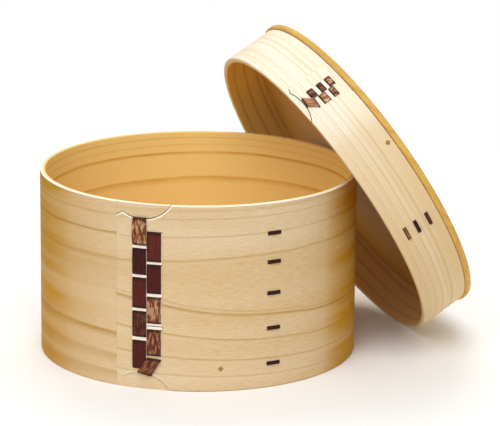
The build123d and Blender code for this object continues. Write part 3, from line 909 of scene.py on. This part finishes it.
class RICETUB_OT_lid_bark(Operator):
    """Sews the lid's seam with strips of cherry bark"""

    bl_idname = "rice_tub.lid_bark"
    bl_label = "Lid bark"

    def execute(self, context):
        band = settings().lid
        left = [
            (0.711, 0.839, 0.5, 0.8, 0.15, 0.0), (0.521, 0.638, 0.32, 0.15, 0.15, 0.0),
            (0.297, 0.437, 0.3, 0.2, 0.15, 0.0),
        ]
        right = [(0.644, 0.762, 0.45, 0.6, 0.15, 0.0), (0.414, 0.570, 0.85, 0.8, 0.15, 0.0)]
        corners = [(-0.69, 0.137), (0.29, 0.110), (0.98, 0.314), (0.03, 0.337)]
        turn = {"corners": corners, "tone": 0.85, "fleck": 0.6, "lift": 0.2}
        build_strip("lid_front_bark", "lid", lacing(band, left, right, turn), "lid_front_lace")
        tail = [(0.760, 0.3, 0.1), (0.495, 0.05, 0.0), (0.258, 0.75, 0.2)]
        build_strip("lid_tail_bark", "lid", dashes(band, tail), "lid_tail_lace")
        return {"FINISHED"}


class RICETUB_OT_pegs(Operator):
    """Finishes the bamboo pegs of the tub and the lid"""

    bl_idname = "rice_tub.pegs"
    bl_label = "Pegs"

    def execute(self, context):
        material = bamboo_peg()
        for node in ("tub_pegs", "lid_pegs"):
            finish_node(node, material)
        return {"FINISHED"}


class RICETUB_OT_stage(Operator):
    """Sets the floor, the soft lamps and the camera"""

    bl_idname = "rice_tub.stage"
    bl_label = "Stage"

    def execute(self, context):
        stage = settings().stage
        scene = context.scene
        scene.view_settings.view_transform = "Standard"

        mesh = bpy.data.meshes.new("floor")
        r = stage.reach
        mesh.from_pydata([(-r, -r, 0), (r, -r, 0), (r, r, 0), (-r, r, 0)], [], [(0, 1, 2, 3)])
        floor = bpy.data.objects.new("floor", mesh)
        scene.collection.objects.link(floor)
        made, tree, shader = new_material("studio floor, matt paper")
        plug(tree, shader, {"Base Color": rgba(stage.floor), "Roughness": 0.9, "Specular IOR Level": 0.1})
        # Matt paper: no shine, a soft shadow, and away from the tub it fades into the white behind.
        coords = add(tree, "ShaderNodeTexCoord", take="Object")
        far = add(tree, VECTOR, {0: coords}, "Value", operation="LENGTH")
        links = {0: far, 1: stage.clear, 2: stage.gone}
        fade = add(tree, RANGE, links, interpolation_type="SMOOTHSTEP")
        clear = add(tree, "ShaderNodeBsdfTransparent")
        mixed = add(tree, "ShaderNodeMixShader", {0: fade, 1: shader.outputs[0], 2: clear})
        add(tree, "ShaderNodeOutputMaterial", {"Surface": mixed}, take=None).is_active_output = True
        mesh.materials.append(made)

        world = bpy.data.worlds.new("studio")
        world.use_nodes = True
        tree = world.node_tree
        tree.nodes.clear()
        seen = add(tree, "ShaderNodeLightPath", take="Is Camera Ray")
        strength = add(tree, MIX, {0: seen, 2: stage.sky, 3: 1.0}, data_type="FLOAT")
        light = add(tree, "ShaderNodeBackground", {"Color": (1, 1, 1, 1), "Strength": strength})
        add(tree, "ShaderNodeOutputWorld", {"Surface": light}, take=None)
        scene.world = world

        for name, place, size, strength in SOFTBOXES:
            lamp = bpy.data.lights.new(name, "AREA")
            lamp.shape = "SQUARE"
            lamp.size = size
            lamp.energy = getattr(stage, strength)
            holder = bpy.data.objects.new(name, lamp)
            holder.location = place
            holder.rotation_euler = (LIGHT_TARGET - place).to_track_quat("-Z", "Y").to_euler()
            scene.collection.objects.link(holder)

        view = bpy.data.cameras.new("camera")
        view.sensor_fit = "HORIZONTAL"
        view.angle = stage.field
        view.clip_end = 50
        camera = bpy.data.objects.new("camera", view)
        turn = Matrix.Rotation(stage.heading, 4, "Z") @ Matrix.Rotation(pi / 2 - stage.pitch, 4, "X")
        place, roll = Matrix.Translation(stage.camera_place), Matrix.Rotation(stage.roll, 4, "Z")
        camera.matrix_world = place @ turn @ roll
        scene.collection.objects.link(camera)
        scene.camera = camera
        return {"FINISHED"}


class RICETUB_PT_panel(Panel):
    """Lists the pieces and the stage of the rice tub"""

    bl_idname = "RICETUB_PT_panel"
    bl_label = "Rice tub"
    bl_space_type = "VIEW_3D"
    bl_region_type = "UI"
    bl_category = "Rice tub"

    def draw(self, context):
        for operator in OPERATORS:
            self.layout.operator(operator.bl_idname)
        for name in ("tub", "lid", "wood", "bark", "peg", "stage"):
            group = getattr(settings(), name)
            box = self.layout.box()
            box.label(text=name.capitalize())
            for key in group.__annotations__:
                box.prop(group, key)


OPERATORS = (
    RICETUB_OT_tub_wall,
    RICETUB_OT_lid_wall,
    RICETUB_OT_boards,
    RICETUB_OT_tub_bark,
    RICETUB_OT_lid_bark,
    RICETUB_OT_pegs,
    RICETUB_OT_stage,
)
GROUPS = (RiceTubBand, RiceTubWood, RiceTubBark, RiceTubPeg, RiceTubStage, RiceTubSettings)
CLASSES = (*GROUPS, *OPERATORS, RICETUB_PT_panel)


def register():
    for item in CLASSES:
        bpy.utils.register_class(item)
    bpy.types.Scene.rice_tub = PointerProperty(type=RiceTubSettings)
    lid = bpy.context.scene.rice_tub.lid
    lid.radius = 127.3 * MM
    lid.wall = 4.4 * MM
    lid.height = 39.6 * MM
    lid.seam = radians(-143.7)
    lid.reach = 20.6 * MM
    lid.lap = 158 * MM
    lid.cut_start = 14.8 * MM
    lid.low_cut = 4.9 * MM
    lid.high_cut = 4.9 * MM
    lid.strip = 8.6 * MM
    lid.tail_place = 125.6 * MM


def unregister():
    del bpy.types.Scene.rice_tub
    for item in reversed(CLASSES):
        bpy.utils.unregister_class(item)


def main():
    register()
    for operator in OPERATORS:
        package, name = operator.bl_idname.split(".")
        getattr(getattr(bpy.ops, package), name)()


if __name__ == "__main__":
    main()
